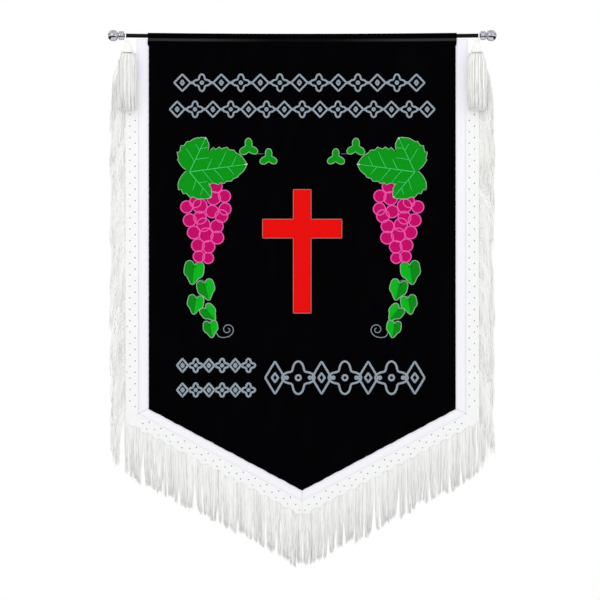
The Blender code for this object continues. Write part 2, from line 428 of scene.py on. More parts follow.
def soften(piece, levels=1):
    smoothing = piece.modifiers.new("soft", "SUBSURF")
    smoothing.levels = levels
    smoothing.render_levels = levels
    return piece


def cords_mesh(name, runs, radius, sides=4, flat=1.0):
    """A mesh of round cords. Each run is (points, share of the radius at each point, closed)."""
    curve = bpy.data.curves.new(name, "CURVE")
    curve.dimensions = "3D"
    curve.bevel_depth = radius
    curve.bevel_resolution = sides // 2 - 2
    curve.use_fill_caps = True
    for points, shares, closed in runs:
        spline = curve.splines.new("POLY")
        spline.points.add(len(points) - 1)
        spline.points.foreach_set("co", [c for p in points for c in (*p, 1)])
        spline.points.foreach_set("radius", shares)
        spline.use_cyclic_u = closed
        spline.use_smooth = True
    holder = bpy.data.objects.new(name, curve)
    bpy.context.scene.collection.objects.link(holder)
    graph = bpy.context.evaluated_depsgraph_get()
    mesh = bpy.data.meshes.new_from_object(holder.evaluated_get(graph))
    bpy.data.objects.remove(holder)
    bpy.data.curves.remove(curve)
    bm = bmesh.new()
    bm.from_mesh(mesh)
    bpy.data.meshes.remove(mesh)
    return finish_mesh(name, bm)


def round_path(points, closed=False, steps=4):
    """A smooth line through a few places."""
    places = [Vector(point) for point in points]
    count = len(places)
    fine = []
    for i in range(count if closed else count - 1):
        around = [(i + k - 1) % count if closed else min(max(i + k - 1, 0), count - 1) for k in range(4)]
        p0, p1, p2, p3 = (places[k] for k in around)
        bend = 2 * p0 - 5 * p1 + 4 * p2 - p3
        twist = 3 * p1 - p0 - 3 * p2 + p3
        for j in range(steps):
            t = j / steps
            fine.append(0.5 * (2 * p1 + (p2 - p0) * t + bend * t * t + twist * t**3))
    return fine if closed else fine + [places[-1]]


# ---------------------------------------------------------------- rod and finials


def make_rod(paint):
    end = COLLAR_START + ROD_IN_SOCKET
    bm = bmesh.new()
    made = bmesh.ops.create_circle(bm, cap_ends=True, segments=28, radius=ROD_RADIUS)
    turn = Vector((1, 0, 0)).to_track_quat("Z", "Y").to_matrix()
    bmesh.ops.rotate(bm, verts=made["verts"], cent=(0, 0, 0), matrix=turn)
    bmesh.ops.translate(bm, verts=made["verts"], vec=(-end, 0, 0))
    edges = bm.edges[:]
    steps = 60
    for _ in range(steps):
        made = bmesh.ops.extrude_edge_only(bm, edges=edges)["geom"]
        edges = [part for part in made if isinstance(part, bmesh.types.BMEdge)]
        edges = [edge for edge in edges if len(edge.link_faces) == 1]
        moved = [part for part in made if isinstance(part, bmesh.types.BMVert)]
        bmesh.ops.translate(bm, verts=moved, vec=(2 * end / steps, 0, 0))
    bmesh.ops.contextual_create(bm, geom=edges)
    for vert in bm.verts:
        vert.co.z += rod_height(vert.co.x)
    lay_piece("turned_rod", finish_mesh("turned_rod", bm), [paint], ["rod"])


def make_finial(label, side, chrome):
    """Turned on a lathe: a grooved collar, a narrow neck and a ball."""
    bm = bmesh.new()
    bore, groove = ROD_RADIUS + 0.0003, 0.0083
    profile = [
        # radius, distance from the collar's inner face
        (bore, 0.0060),
        (bore, 0.0),
        (0.0074, 0.0),
        (groove, 0.0005),
        (COLLAR_RADIUS, 0.0014),
        (COLLAR_RADIUS, 0.0034),
        (groove, 0.0039),
        (groove, 0.0045),
        (COLLAR_RADIUS, 0.0050),
        (COLLAR_RADIUS, 0.0086),
        (0.0082, 0.0095),
        (0.0070, 0.0102),
        (0.0058, 0.0106),
        (NECK_RADIUS, 0.0112),
    ]
    lowest, steps = -1.05, 22
    for i in range(steps + 1):
        turn = lowest + (math.pi / 2 - lowest) * i / steps
        profile.append((BALL_RADIUS * math.cos(turn), BALL_CENTRE + BALL_RADIUS * math.sin(turn)))
    verts = [bm.verts.new((h, r, 0)) for r, h in profile]
    edges = [bm.edges.new(pair) for pair in zip(verts, verts[1:])]
    bmesh.ops.spin(
        bm,
        geom=verts + edges,
        cent=(0, 0, 0),
        axis=(1, 0, 0),
        angle=2 * math.pi,
        steps=40,
        use_merge=True,
    )
    bmesh.ops.remove_doubles(bm, verts=bm.verts, dist=0.000005)
    for vert in bm.verts:
        vert.co.x = side * (COLLAR_START + vert.co.x)
    name = f"turned_finial_{label}"
    lay_piece(name, finish_mesh(name, bm), [chrome], [f"finial_{label}"])


# ---------------------------------------------------------------- velvet field


def sleeve_path():
    """The velvet's middle line past the rod as (y, z), from the front over to the flap's end."""
    over = [math.pi * i / 14 for i in range(15)]
    path = [(FIELD_Y * math.cos(a), -FIELD_Y * math.sin(a)) for a in over]
    for i in range(1, 9):
        t = i / 8
        path.append((-FIELD_Y + (FLAP_Y + FIELD_Y) * smooth(t, 0, 1), FLAP_START * t))
    return path + [(FLAP_Y, FLAP_START - 0.004), (FLAP_Y, -0.026), (FLAP_Y, FLAP_END)]


def make_field(pile, ground):
    """Cut flat with a pointed end, then hung: the top goes over the rod and down behind."""
    columns, front_rows = 92, 130
    sleeve = sleeve_path()
    fall = [(FIELD_Y, -0.0300 * i / 10) for i in range(10, 0, -1)]
    step = (0.0300 + FIELD_POINT) / front_rows
    front = [(FIELD_Y, FIELD_POINT - step * i) for i in range(front_rows)]
    stations = front + fall + sleeve
    bm = bmesh.new()
    bmesh.ops.create_grid(bm, x_segments=columns, y_segments=len(stations) - 1, size=1.0)
    for vert in bm.verts:
        row = round((vert.co.y + 1) / 2 * (len(stations) - 1))
        y, z = stations[row]
        vert.co = (vert.co.x * FIELD_HALF, y, z)
    for side in (-1, 1):
        cut = Vector((side * math.sin(SLOPE), 0, -math.cos(SLOPE)))
        geom = bm.verts[:] + bm.edges[:] + bm.faces[:]
        place = (0, 0, FIELD_POINT)
        bmesh.ops.bisect_plane(
            bm, geom=geom, dist=0.00001, plane_co=place, plane_no=cut, clear_outer=True
        )
    bmesh.ops.remove_doubles(bm, verts=bm.verts, dist=0.0004)
    for vert in bm.verts:
        x, y, z = vert.co
        behind = y > -0.004
        flare = 0.0024 * smooth(z, -0.0215, -0.0165) * smooth(abs(x), 0.284, 0.300)
        wavy = 0.00035 * math.sin(z * 260 + (2 if x > 0 else 0)) * smooth(abs(x), 0.294, 0.300)
        vert.co.x += math.copysign(flare + (0 if behind else wavy), x)
        if edge_distance(x, z) < 0.0005 and z < FIELD_CORNER + 0.001 and not behind:
            vert.co.z += 0.0004 * math.sin(x * 310) + 0.0003 * math.sin(x * 131)
        if not behind:
            from_seam = abs(z - SLEEVE_SEAM)
            pucker = 0.00022 * math.sin(x * 900) * smooth(from_seam, 0.006, 0)
            seam = 0.00045 * smooth(from_seam, 0.004, 0)
            vert.co.y += settle(x, z) + pucker + seam
        vert.co.z += rod_height(x) * smooth(z, -0.12, -0.02)
    mesh = finish_mesh("velvet_field", bm)
    piece = lay_piece("velvet_field", mesh, [pile, ground], ["field"])
    wall(piece, VELVET, offset=0.0, rim=0, back=1)
    roll = piece.modifiers.new("rolled_edge", "BEVEL")
    roll.width = 0.00045
    roll.segments = 2
    roll.limit_method = "ANGLE"
    roll.angle_limit = math.radians(50)


# ---------------------------------------------------------------- satin and braid strips


def strip_corners(kind, side_out, bottom_out, top):
    """Corners of a mitred strip on the right side: inner and outer start, inner and outer end."""
    near, far = (FIELD_HALF + out for out in side_out)
    mitre = (near, point_edge(near, bottom_out[0])), (far, point_edge(far, bottom_out[1]))
    if kind == "side":
        return (near, top), (far, top), mitre[0], mitre[1]
    middle = [(0.0, point_edge(0, out)) for out in bottom_out]
    return (*mitre, *middle)


def strip_grid(corners, cells, side):
    """A flat grid stretched over a strip's four corners, with a UV map in metres."""
    bm = bmesh.new()
    across, along = cells
    bmesh.ops.create_grid(bm, x_segments=across, y_segments=along, size=1.0)
    uv = bm.loops.layers.uv.new("cloth")
    (a, b, c, d) = (Vector(corner) for corner in corners)
    width, length = (b - a).length, ((c - a).length + (d - b).length) / 2
    for vert in bm.verts:
        s, t = (vert.co.x + 1) / 2, (vert.co.y + 1) / 2
        for loop in vert.link_loops:
            loop[uv].uv = (s * width, t * length)
        place = a.lerp(b, s).lerp(c.lerp(d, s), t)
        vert.co = (side * place.x, 0, place.y)
    return bm, width, length


def make_satin(kind, label, side, satin):
    stem = "border" if kind == "side" else "border_point"
    corners = strip_corners(kind, (-SATIN_TUCK, SATIN_SIDE), (-SATIN_TUCK, SATIN_BOTTOM), SATIN_TOP)
    cells = (12, 180) if kind == "side" else (12, 96)
    bm, width, length = strip_grid(corners, cells, side)
    for vert in bm.verts:
        x, _, z = vert.co
        pull = noise.noise(Vector((60 * x, 30 * z, side * 2.0 + (5 if kind == "side" else 9))))
        vert.co.y = SATIN_Y + 0.0002 * pull + settle(x, z)
        vert.co.z += rod_height(x) * smooth(z, -0.12, -0.02)
    name = f"satin_{stem}_{label}"
    piece = lay_piece(name, finish_mesh(name, bm), [satin], [f"{stem}_{label}"])
    wall(piece, 0.0008, offset=0.0)


def side_eyelets():
    """Three staggered rows down the side braid: (x, z)."""
    spots = []
    for i in range(31):
        for x, shift in ((0.3270, 0.0), (0.3370, 0.5), (0.3434, 0.0)):
            spots.append((x, FIRST_EYELET - (i + shift) * SIDE_PITCH))
    return [(x, z) for x, z in spots if z > point_edge(x, 0.019)]


def point_eyelets():
    """Three staggered rows beside the point: (x, z)."""
    spots = []
    for i in range(15):
        for out, shift in ((0.0222, 0.0), (0.0304, 0.56), (0.0366, 0.24)):
            x = (i + shift) * POINT_PITCH
            if x < FIELD_HALF + out * 0.78 - 0.004:
                spots.append((x, point_edge(x, out)))
    return spots


def sink_eyelet(bm, x, z, well):
    """Opens one eyelet at the nearest crossing of the grid: a raised rim round a round well."""
    reach = 0.004
    beside = [v for v in bm.verts if abs(v.co.x - x) < reach and abs(v.co.z - z) < reach]
    beside = [v for v in beside if len(v.link_faces) == 4]
    near = min(beside, key=lambda v: (v.co.x - x) ** 2 + (v.co.z - z) ** 2, default=None)
    if near is None or any(len(face.verts) != 4 for face in near.link_faces):
        return
    if any(v.is_boundary for face in near.link_faces for v in face.verts):
        return
    faces = list(near.link_faces)
    face = bmesh.ops.dissolve_faces(bm, faces=faces, use_verts=True)["region"][0]
    if len(face.verts) != 8:
        return
    rings = (
        # share of the eyelet's radius, depth into the braid, how shaded
        (1.75, 0.0, 0.0),
        (1.35, -0.00022, 0.0),
        (1.0, 0.0, 0.3),
        (0.85, EYELET_DEPTH, 1.0),
    )
    for ring, (radius, sunk, shaded) in enumerate(rings):
        if ring:
            face = bmesh.ops.extrude_discrete_faces(bm, faces=[face])["faces"][0]
        for vert in face.verts:
            offset = Vector((vert.co.x - x, vert.co.z - z)).normalized() * EYELET * radius
            vert.co = (x + offset.x, BRAID_FRONT + sunk, z + offset.y)
            vert[well] = shaded


def make_braid(kind, label, side, braid):
    stem = "braid" if kind == "side" else "braid_point"
    corners = strip_corners(kind, BRAID_SIDE, BRAID_BOTTOM, BRAID_TOP)
    cells = (12, 250) if kind == "side" else (12, 140)
    bm, width, length = strip_grid(corners, cells, 1)
    well = bm.verts.layers.float.new("well")
    for vert in bm.verts:
        vert.co.y = BRAID_FRONT
    for x, z in side_eyelets() if kind == "side" else point_eyelets():
        if x > 0.0001 or kind == "side":
            sink_eyelet(bm, x, z, well)
    bmesh.ops.recalc_face_normals(bm, faces=bm.faces)
    for vert in bm.verts:
        x, y, z = vert.co
        if kind == "side":
            rim = smooth(x, 0.3415, 0.3462)
            vert.co.x += rim * 0.0008 * math.cos((z - FIRST_EYELET) * 2 * math.pi / SIDE_PITCH)
        else:
            out = (point_edge(x) - z) * math.cos(SLOPE)
            rim = smooth(out, 0.0395, 0.0446)
            beside = ((x / POINT_PITCH + 0.5) % 1 - 0.5) * POINT_PITCH
            arch = math.sqrt(max(0, 1 - (beside / ARCH_HALF) ** 2))
            vert.co.z -= rim * (0.0016 - 0.0046 * arch)
        puff = 0.00025 * noise.noise(Vector((70 * x, 70 * z, 4.0 + side)))
        vert.co = (side * x, y + puff + settle(side * x, z), vert.co.z)
    name = f"pierced_{stem}_{label}"
    mesh = finish_mesh(name, bm)
    piece = lay_piece(name, mesh, [braid], [f"{stem}_{label}"])
    wall(piece, 0.0004)
    soften(piece)


# ---------------------------------------------------------------- fringe


def strand_shares(count, tip=0.45):
    return [1 - (1 - tip) * (i / (count - 1)) ** 4 for i in range(count)]


def point_fringe(label, side, thread):
    """Tufts below the sloping braid: each has a few locks of strands that fan out as they fall."""
    rng = random.Random(31 if side > 0 else 32)
    outer = FIELD_HALF + 0.0450
    tufts = 15
    pitch = outer / tufts
    runs = []
    count = 10
    for index in range(tufts + 1):
        middle = index * pitch
        locks = 3 if index else 2
        drop = STRAND_DROP + rng.uniform(-0.0035, 0.0035)
        for lock in range(locks):
            spread = ((lock + 0.5) / 3 - 0.5) * pitch if index else (lock + 0.35) / 3 * pitch
            lean = rng.gauss(0, 0.0022)
            sway = rng.gauss(0, 0.0011)
            phase = rng.uniform(0, 6.28)
            deep = rng.gauss(0, 0.0011)
            reach = drop + rng.uniform(-0.0045, 0.003)
            for _ in range(34 if index not in (0, tufts) else 26):
                about = rng.gauss(0, 0.36)
                about = max(-1, min(1, about))
                start = middle + spread + about * pitch / 5.2
                if not 0 <= start <= outer + 0.004:
                    continue
                depth = rng.uniform(-1, 1) * 0.0021
                free = rng.gauss(0, 0.0009)
                cut = reach + rng.gauss(0, 0.0018)
                curl = rng.gauss(0, 0.0006)
                arch = 0.0052 * math.sqrt(max(0, 1 - ((start - middle) / 0.0105) ** 2))
                top = point_edge(start, 0.0405) + arch
                points = []
                for i in range(count):
                    t = i / (count - 1)
                    wave = sway * math.sin(phase + 5.2 * t) * t + curl * math.sin(9 * t + about * 4)
                    pull = about * pitch / 5.2 * (0.35 * t * (1 - t) - 0.15 * t)
                    x = start + lean * t * t + wave + pull + free * t
                    z = top - cut * t * (1.0 if t else 0) - (0.004 if t > 0.98 else 0) * rng.random()
                    bulge = math.sin(math.pi * min(1, t * 1.15)) * 0.0014
                    y = -0.0047 + depth * (0.35 + 0.9 * t) + deep * t - bulge * 0.6
                    points.append((side * x, y + settle(side * x, z), z))
                runs.append((points, strand_shares(count), False))
    name = f"thread_fringe_point_{label}"
    mesh = cords_mesh(name, runs, 0.00058)
    lay_piece(name, mesh, [thread], [f"fringe_point_{label}"])


def side_fringe(label, side, thread):
    """Strands sewn to an upright edge: they leave it sideways, fall in long wavy locks and overlap."""
    rng = random.Random(41 if side > 0 else 42)
    runs = []
    count = 11
    tufts = 31
    for index in range(tufts):
        first = SIDE_FRINGE_TOP + 0.002 - index * SIDE_PITCH
        wave = index * SIDE_PITCH / 0.0780
        lane = 0.3640 + 0.0050 * math.sin(2 * math.pi * wave) + rng.gauss(0, 0.0022)
        deep = -0.0042 + rng.uniform(-0.0012, 0.0006)
        sway = rng.uniform(0.0008, 0.0026)
        phase = rng.uniform(0, 6.28)
        for _ in range(50):
            z0 = first - rng.random() * SIDE_PITCH
            about = max(-1, min(1, rng.gauss(0, 0.5)))
            target = lane + about * 0.0085
            target = min(target, SIDE_FRINGE_REACH - 0.0006)
            depth = rng.uniform(-1, 1) * 0.0017
            cut = STRAND_DROP + rng.gauss(-0.004, 0.005)
            bow = rng.uniform(0.012, 0.024)
            points = []
            for i in range(count):
                t = (i / (count - 1)) ** 1.25
                down = t * cut
                out = 1 - math.exp(-down / bow)
                x = 0.3438 + (target - 0.3438) * out
                x += sway * math.sin(phase + 6.0 * t) * t + 0.0006 * math.sin(11 * t + about * 5)
                z = z0 - down + 0.0022 * math.sin(math.pi * min(1, down / 0.02))
                x = min(x, SIDE_FRINGE_REACH + 0.001)
                y = deep + depth * (0.4 + 0.6 * t) - 0.0006 * math.sin(math.pi * t)
                points.append((side * x, max(y, -0.0068) + settle(side * x, z), z))
            runs.append((points, strand_shares(count), False))
    name = f"thread_fringe_{label}"
    mesh = cords_mesh(name, runs, 0.00058)
    lay_piece(name, mesh, [thread], [f"fringe_{label}"])


# ---------------------------------------------------------------- tassels


def tassel_place(side, radius, turn, z, flatness=HEAD_FLATNESS):
    """A place on a tassel's oval section."""
    x = TASSEL_X + radius * math.cos(turn)
    return (side * x, TASSEL_Y + flatness * radius * math.sin(turn), z)


def make_skirt(label, side, thread):
    """Layered threads that widen below the head and gather into a few soft folds."""
    rng = random.Random(51 if side > 0 else 52)
    runs = []
    folds = (-0.0125, -0.0045, 0.0040, 0.0120)
    waist, count, threads = 0.0100, 12, 330
    top = HEAD_BASE + 0.0020
    for index in range(threads):
        turn = 2 * math.pi * index / threads * 7.0 + rng.uniform(-0.05, 0.05)
        layer = rng.uniform(0.55, 1.0)
        bend = rng.gauss(0, 0.0007)
        cut = SKIRT_END + abs(rng.gauss(0, 0.0022)) - 0.0012
        ridge = rng.uniform(0, 0.0006)
        points = []
        for i in range(count):
            t = i / (count - 1)
            width = waist + (SKIRT_RADIUS - waist) * smooth(t, -0.02, 0.22) + 0.0004 * t
            x = width * layer * math.cos(turn)
            pinch = sum(math.exp(-(((x - f) / 0.0022) ** 2)) for f in (-0.0085, 0.0, 0.0082))
            y = 0.5 * width * layer * math.sin(turn) * (1 - 0.10 * pinch * smooth(t, 0.05, 0.3))
            near = min(folds, key=lambda f: abs(f - x))
            x += (near - x) * 0.07 * t + bend * math.sin(4 * t) + ridge
            points.append((side * (TASSEL_X + x), TASSEL_Y + y, top + (cut - top) * t))
        runs.append((points, strand_shares(count, 0.6), False))
    name = f"tassel_threads_{label}"
    mesh = cords_mesh(name, runs, 0.00062)
    lay_piece(name, mesh, [thread], [f"tassel_skirt_{label}"])


def make_head(label, side, thread):
    """Threads drawn over a bell-shaped mould, bound at its foot and at its neck."""
    profile = (
        # share of the way down, share of the head's radius, share of the thread's radius
        (0.0, 0.20, 0.75),
        (0.10, 0.34, 0.8),
        (0.3, 0.47, 1),
        (0.52, 0.62, 1.1),
        (0.75, 0.84, 1.25),
        (0.92, 0.99, 1.3),
        (1.0, 0.95, 1.2),
    )
    runs = []
    for index in range(54):
        turn = 2 * math.pi * index / 54
        points = []
        for down, share, _ in profile:
            z = HEAD_TOP - 0.0007 + (HEAD_BASE - HEAD_TOP) * down
            points.append(tassel_place(side, HEAD_RADIUS * share - 0.0006, turn + 0.25 * down, z))
        runs.append((points, [thick for _, _, thick in profile], False))
    bindings = ((HEAD_BASE + 0.0004, 1.0), (HEAD_BASE - 0.0008, 0.97), (HEAD_TOP - 0.0016, 0.42))
    for level, width in bindings:
        turns = [2 * math.pi * i / 40 for i in range(40)]
        loop = [tassel_place(side, HEAD_RADIUS * width, turn, level) for turn in turns]
        runs.append((loop, [0.9] * 40, True))
    name = f"tassel_bound_head_{label}"
    mesh = cords_mesh(name, runs, 0.00066, 6)
    lay_piece(name, mesh, [thread], [f"tassel_head_{label}"])


def make_loop(label, side, thread):
    """Three plies twisted together: over the rod, and forward to the top of the head."""
    over = ROD_RADIUS + 0.0005 + 0.0015
    foot = HEAD_TOP + 0.0004
    turns = [math.pi * i / 14 for i in range(15)]
    path = [(0, -over * math.cos(turn), over * math.sin(turn)) for turn in turns]
    path += [
        (0, over * 0.75, foot * 0.4),
        (0, over * 0.2, foot * 0.8),
        (0, TASSEL_Y + over, foot * 1.02),
        (0, TASSEL_Y + 0.0008, foot - 0.0004),
        (0, TASSEL_Y - 0.0006, foot + 0.0006),
        (0, TASSEL_Y + over * 0.5, foot + 0.0024),
        (0, -over - 0.0012, foot * 0.42),
    ]
    fine = round_path(path, closed=True)
    steps, plies, twists = len(fine), 3, 14
    lift = Vector((side * LOOP_X, 0, rod_height(LOOP_X)))
    sideways = Vector((1, 0, 0))
    runs = []
    for ply in range(plies):
        points = []
        for i, place in enumerate(fine):
            ahead = (fine[(i + 1) % steps] - fine[i - 1]).normalized()
            angle = 2 * math.pi * (ply / plies + twists * i / steps)
            offset = math.cos(angle) * sideways + math.sin(angle) * ahead.cross(sideways)
            points.append(place + lift + 0.00068 * offset)
        runs.append((points, [1.0] * steps, True))
    name = f"tassel_cord_loop_{label}"
    mesh = cords_mesh(name, runs, 0.00078, 6)
    lay_piece(name, mesh, [thread], [f"tassel_loop_{label}"])


# ---------------------------------------------------------------- embroidery


def on_cloth(x, z, height):
    """A place that much in front of the velvet."""
    return (x, FIELD_FRONT + settle(x, z) - height, z)


def raised_patch(bm, outline, centre, height, base=0.0):
    """A padded patch of stitches: rings step up from its outline to a nearly flat top."""
    middle = Vector(centre)
    ring = [bm.verts.new(on_cloth(x, z, base)) for x, z in outline]
    edges = [bm.edges.new((ring[i - 1], ring[i])) for i in range(len(ring))]
    before = 1.0
    for share, lift in ((0.985, 0.75), (0.93, 0.95), (0.75, 1.0), (0.45, 1.03)):
        made = bmesh.ops.extrude_edge_only(bm, edges=edges)["geom"]
        edges = [e for e in made if isinstance(e, bmesh.types.BMEdge) and len(e.link_faces) == 1]
        for vert in {v for edge in edges for v in edge.verts}:
            place = middle + (Vector((vert.co.x, vert.co.z)) - middle) * (share / before)
            vert.co = on_cloth(place.x, place.y, base + height * lift)
        before = share
    bmesh.ops.contextual_create(bm, geom=edges)


class Blade:
    """One lobe of a leaf: it starts at a place and runs along a direction to its tip."""

    def __init__(self, start, angle, length, left, right, back=0.0, teeth=0.0, tooth=0.0135):
        self.start, self.length, self.back = Vector(start), length, back
        self.ahead = Vector((math.cos(math.radians(angle)), math.sin(math.radians(angle))))
        self.beside = Vector((-self.ahead.y, self.ahead.x))
        self.left, self.right, self.teeth, self.tooth = left, right, teeth, tooth

    def half(self, along, side):
        """Half width at a distance along the midrib. Each side is (widest, where it is widest)."""
        widest, at = self.left if side > 0 else self.right
        if along < at:
            share = (at - along) / (at + self.back)
        else:
            share = (along - at) / (self.length - at)
        share = min(1, max(0, share))
        full = (1 - share**2) ** 0.5 if along < at else (1 - share**1.9) ** 0.72
        notch = ((along / self.tooth) % 1) ** 1.6
        bite = self.teeth * (notch - 0.5) * smooth(share, 1.02, 0.75) * smooth(along, 0.0, 0.02)
        return widest * full * (1 + bite)

    def at(self, along, across):
        return self.start + self.ahead * along + self.beside * across

    def outline(self, steps=46):
        reach = self.length + self.back
        shares = [0.5 - 0.5 * math.cos(math.pi * i / steps) for i in range(steps + 1)]
        stations = [-self.back + share * reach for share in shares]
        left = [self.at(along, self.half(along, 1)) for along in stations]
        return left + [self.at(along, -self.half(along, -1)) for along in stations[-2:0:-1]]

    def holds(self, place, margin=0.0):
        offset = place - self.start
        along, across = offset.dot(self.ahead), offset.dot(self.beside)
        if not -self.back < along < self.length:
            return False
        return abs(across) < self.half(along, 1 if across > 0 else -1) - margin


def couched(points, height, side=1, closed=False, shares=None):
    """One run of cord on the velvet, for cords_mesh."""
    run = [on_cloth(side * x, z, height) for x, z in points]
    return run, shares or [1.0] * len(run), closed


def outline_runs(blades, height, side):
    """The cord round a leaf: each lobe's edge where no other lobe covers it."""
    runs = []
    for blade in blades:
        others = [b for b in blades if b is not blade]
        edge = blade.outline()
        shown = [not any(b.holds(p, 0.0004) for b in others) for p in edge]
        if all(shown):
            runs.append(couched(edge, height, side, True))
            continue
        start = next(i for i in range(len(edge)) if shown[i] and not shown[i - 1])
        run = []
        for k in range(len(edge) + 1):
            i = (start + k) % len(edge)
            if shown[i] and k < len(edge):
                run.append(edge[i])
            elif run:
                if len(run) > 2:
                    runs.append(couched(run, height, side))
                run = []
    return runs


def rib_runs(blade, height, side, shares):
    """The midrib and side ribs of one lobe."""
    middle = [blade.at(blade.length * 0.97 * i / 8, 0) for i in range(9)]
    runs = [couched(middle, height, side, shares=[1.15 - 0.5 * i / 8 for i in range(9)])]
    for along, hand, reach in shares:
        start = along * blade.length
        half = blade.half(start + 0.010, hand) * reach
        rib = []
        for t in (0, 0.35, 0.7, 1):
            rib.append(blade.at(start + 0.75 * half * t - 0.1 * half * t * t, hand * half * t))
        runs.append(couched(rib, height, side, shares=[0.85, 0.75, 0.65, 0.5]))
    return runs


VINE_LEAF = (
    # start, angle, length, (widest left, where), (widest right, where), reach behind the start
    ((-0.2204, -0.2676), 64.5, 0.0740, (0.0375, 0.0270), (0.0178, 0.0440), 0.0),
    ((-0.2204, -0.2676), -50.0, 0.0650, (0.0155, 0.0340), (0.0372, 0.0130), 0.0060),
    ((-0.2204, -0.2676), 7.7, 0.1130, (0.0400, 0.0640), (0.0310, 0.0600), 0.0),
)
VINE_RIBS = (
    # for each lobe: share of the midrib where a side rib leaves, its side, share of the half width
    ((0.30, 1, 0.72), (0.62, 1, 0.55), (0.36, -1, 1.3), (0.68, -1, 1.1)),
    ((0.30, -1, 0.62), (0.62, -1, 0.6), (0.42, 1, 0.95)),
    (
        (0.30, 1, 0.55),
        (0.50, 1, 0.72),
        (0.73, 1, 0.62),
        (0.22, -1, 0.95),
        (0.42, -1, 0.92),
        (0.66, -1, 0.72),
    ),
)
GRAPES = (
    # place in mm, share of the usual size, from the back of the bunch to its front
    (-169, -296, 1.0),
    (-209, -326, 0.9),
    (-173, -319, 1.05),
    (-152, -315, 0.95),
    (-200, -357, 1.0),
    (-151, -340, 0.95),
    (-158, -354, 1.0),
    (-193, -371, 1.05),
    (-167, -374, 1.0),
    (-226, -336, 0.95),
    (-200, -334, 1.12),
    (-176, -345, 0.98),
    (-220, -362, 1.0),
    (-204, -411, 1.0),
    (-183, -414, 0.98),
    (-212, -386, 1.0),
    (-188, -391, 1.1),
    (-166, -396, 1.0),
    (-184, -436, 0.85),
    (-202, -433, 0.9),
)
CHAIN = (
    # place in mm, size in metres, turn in degrees
    (-212, -462, 0.0225, -8),
    (-188, -496, 0.0200, 14),
    (-209, -525, 0.0185, -10),
    (-183, -542, 0.0170, 40),
    (-179, -573, 0.0165, 8),
)


def star_outline(centre, turn, steps, radius):
    """A closed outline whose radius is a function of the angle."""
    points = []
    for i in range(steps):
        a = 2 * math.pi * i / steps
        b = a + math.radians(turn)
        r = radius(a)
        points.append(Vector((centre[0] + r * math.cos(b), centre[1] + r * math.sin(b))))
    return points


def hump(a, place, width):
    return math.exp(-(((a - place) / width) ** 2))


def heart_leaf(centre, size, turn):
    """An ivy leaf: two round lobes above, a point below and a notch at the stalk."""

    def radius(a):
        lobes = 0.86 + 0.20 * hump(a, 0.85, 0.42) + 0.20 * hump(a, 2.29, 0.42)
        tip = 0.30 * hump(a, 4.71, 0.30) - 0.10 * hump(a, 5.5, 0.30) - 0.10 * hump(a, 3.92, 0.30)
        return size * (lobes + tip - 0.34 * hump(a, 1.571, 0.20))

    return star_outline(centre, turn, 56, radius)


def trefoil(centre, size, turn):
    """A small three-lobed leaf."""

    def radius(a):
        return size * (0.70 + 0.30 * math.cos(3 * a)) * (1 + 0.04 * math.cos(a))

    return star_outline(centre, turn, 60, radius)


def circle(centre, radius, steps=22):
    return star_outline(centre, 0, steps, lambda a: radius)


def half_leaf(points, centre, turn, right):
    """The part of a leaf on one side of its middle line."""
    axis = Vector((math.cos(math.radians(turn)), math.sin(math.radians(turn))))
    sign = 1 if right else -1
    kept = []
    for p in points:
        offset = Vector(p) - Vector(centre)
        across = offset.dot(axis) * sign
        kept.append(Vector(p) - axis * sign * min(across, 0.0))
    return kept


def mirrored(outline, side):
    return [(side * -1 * p[0], p[1]) for p in outline]


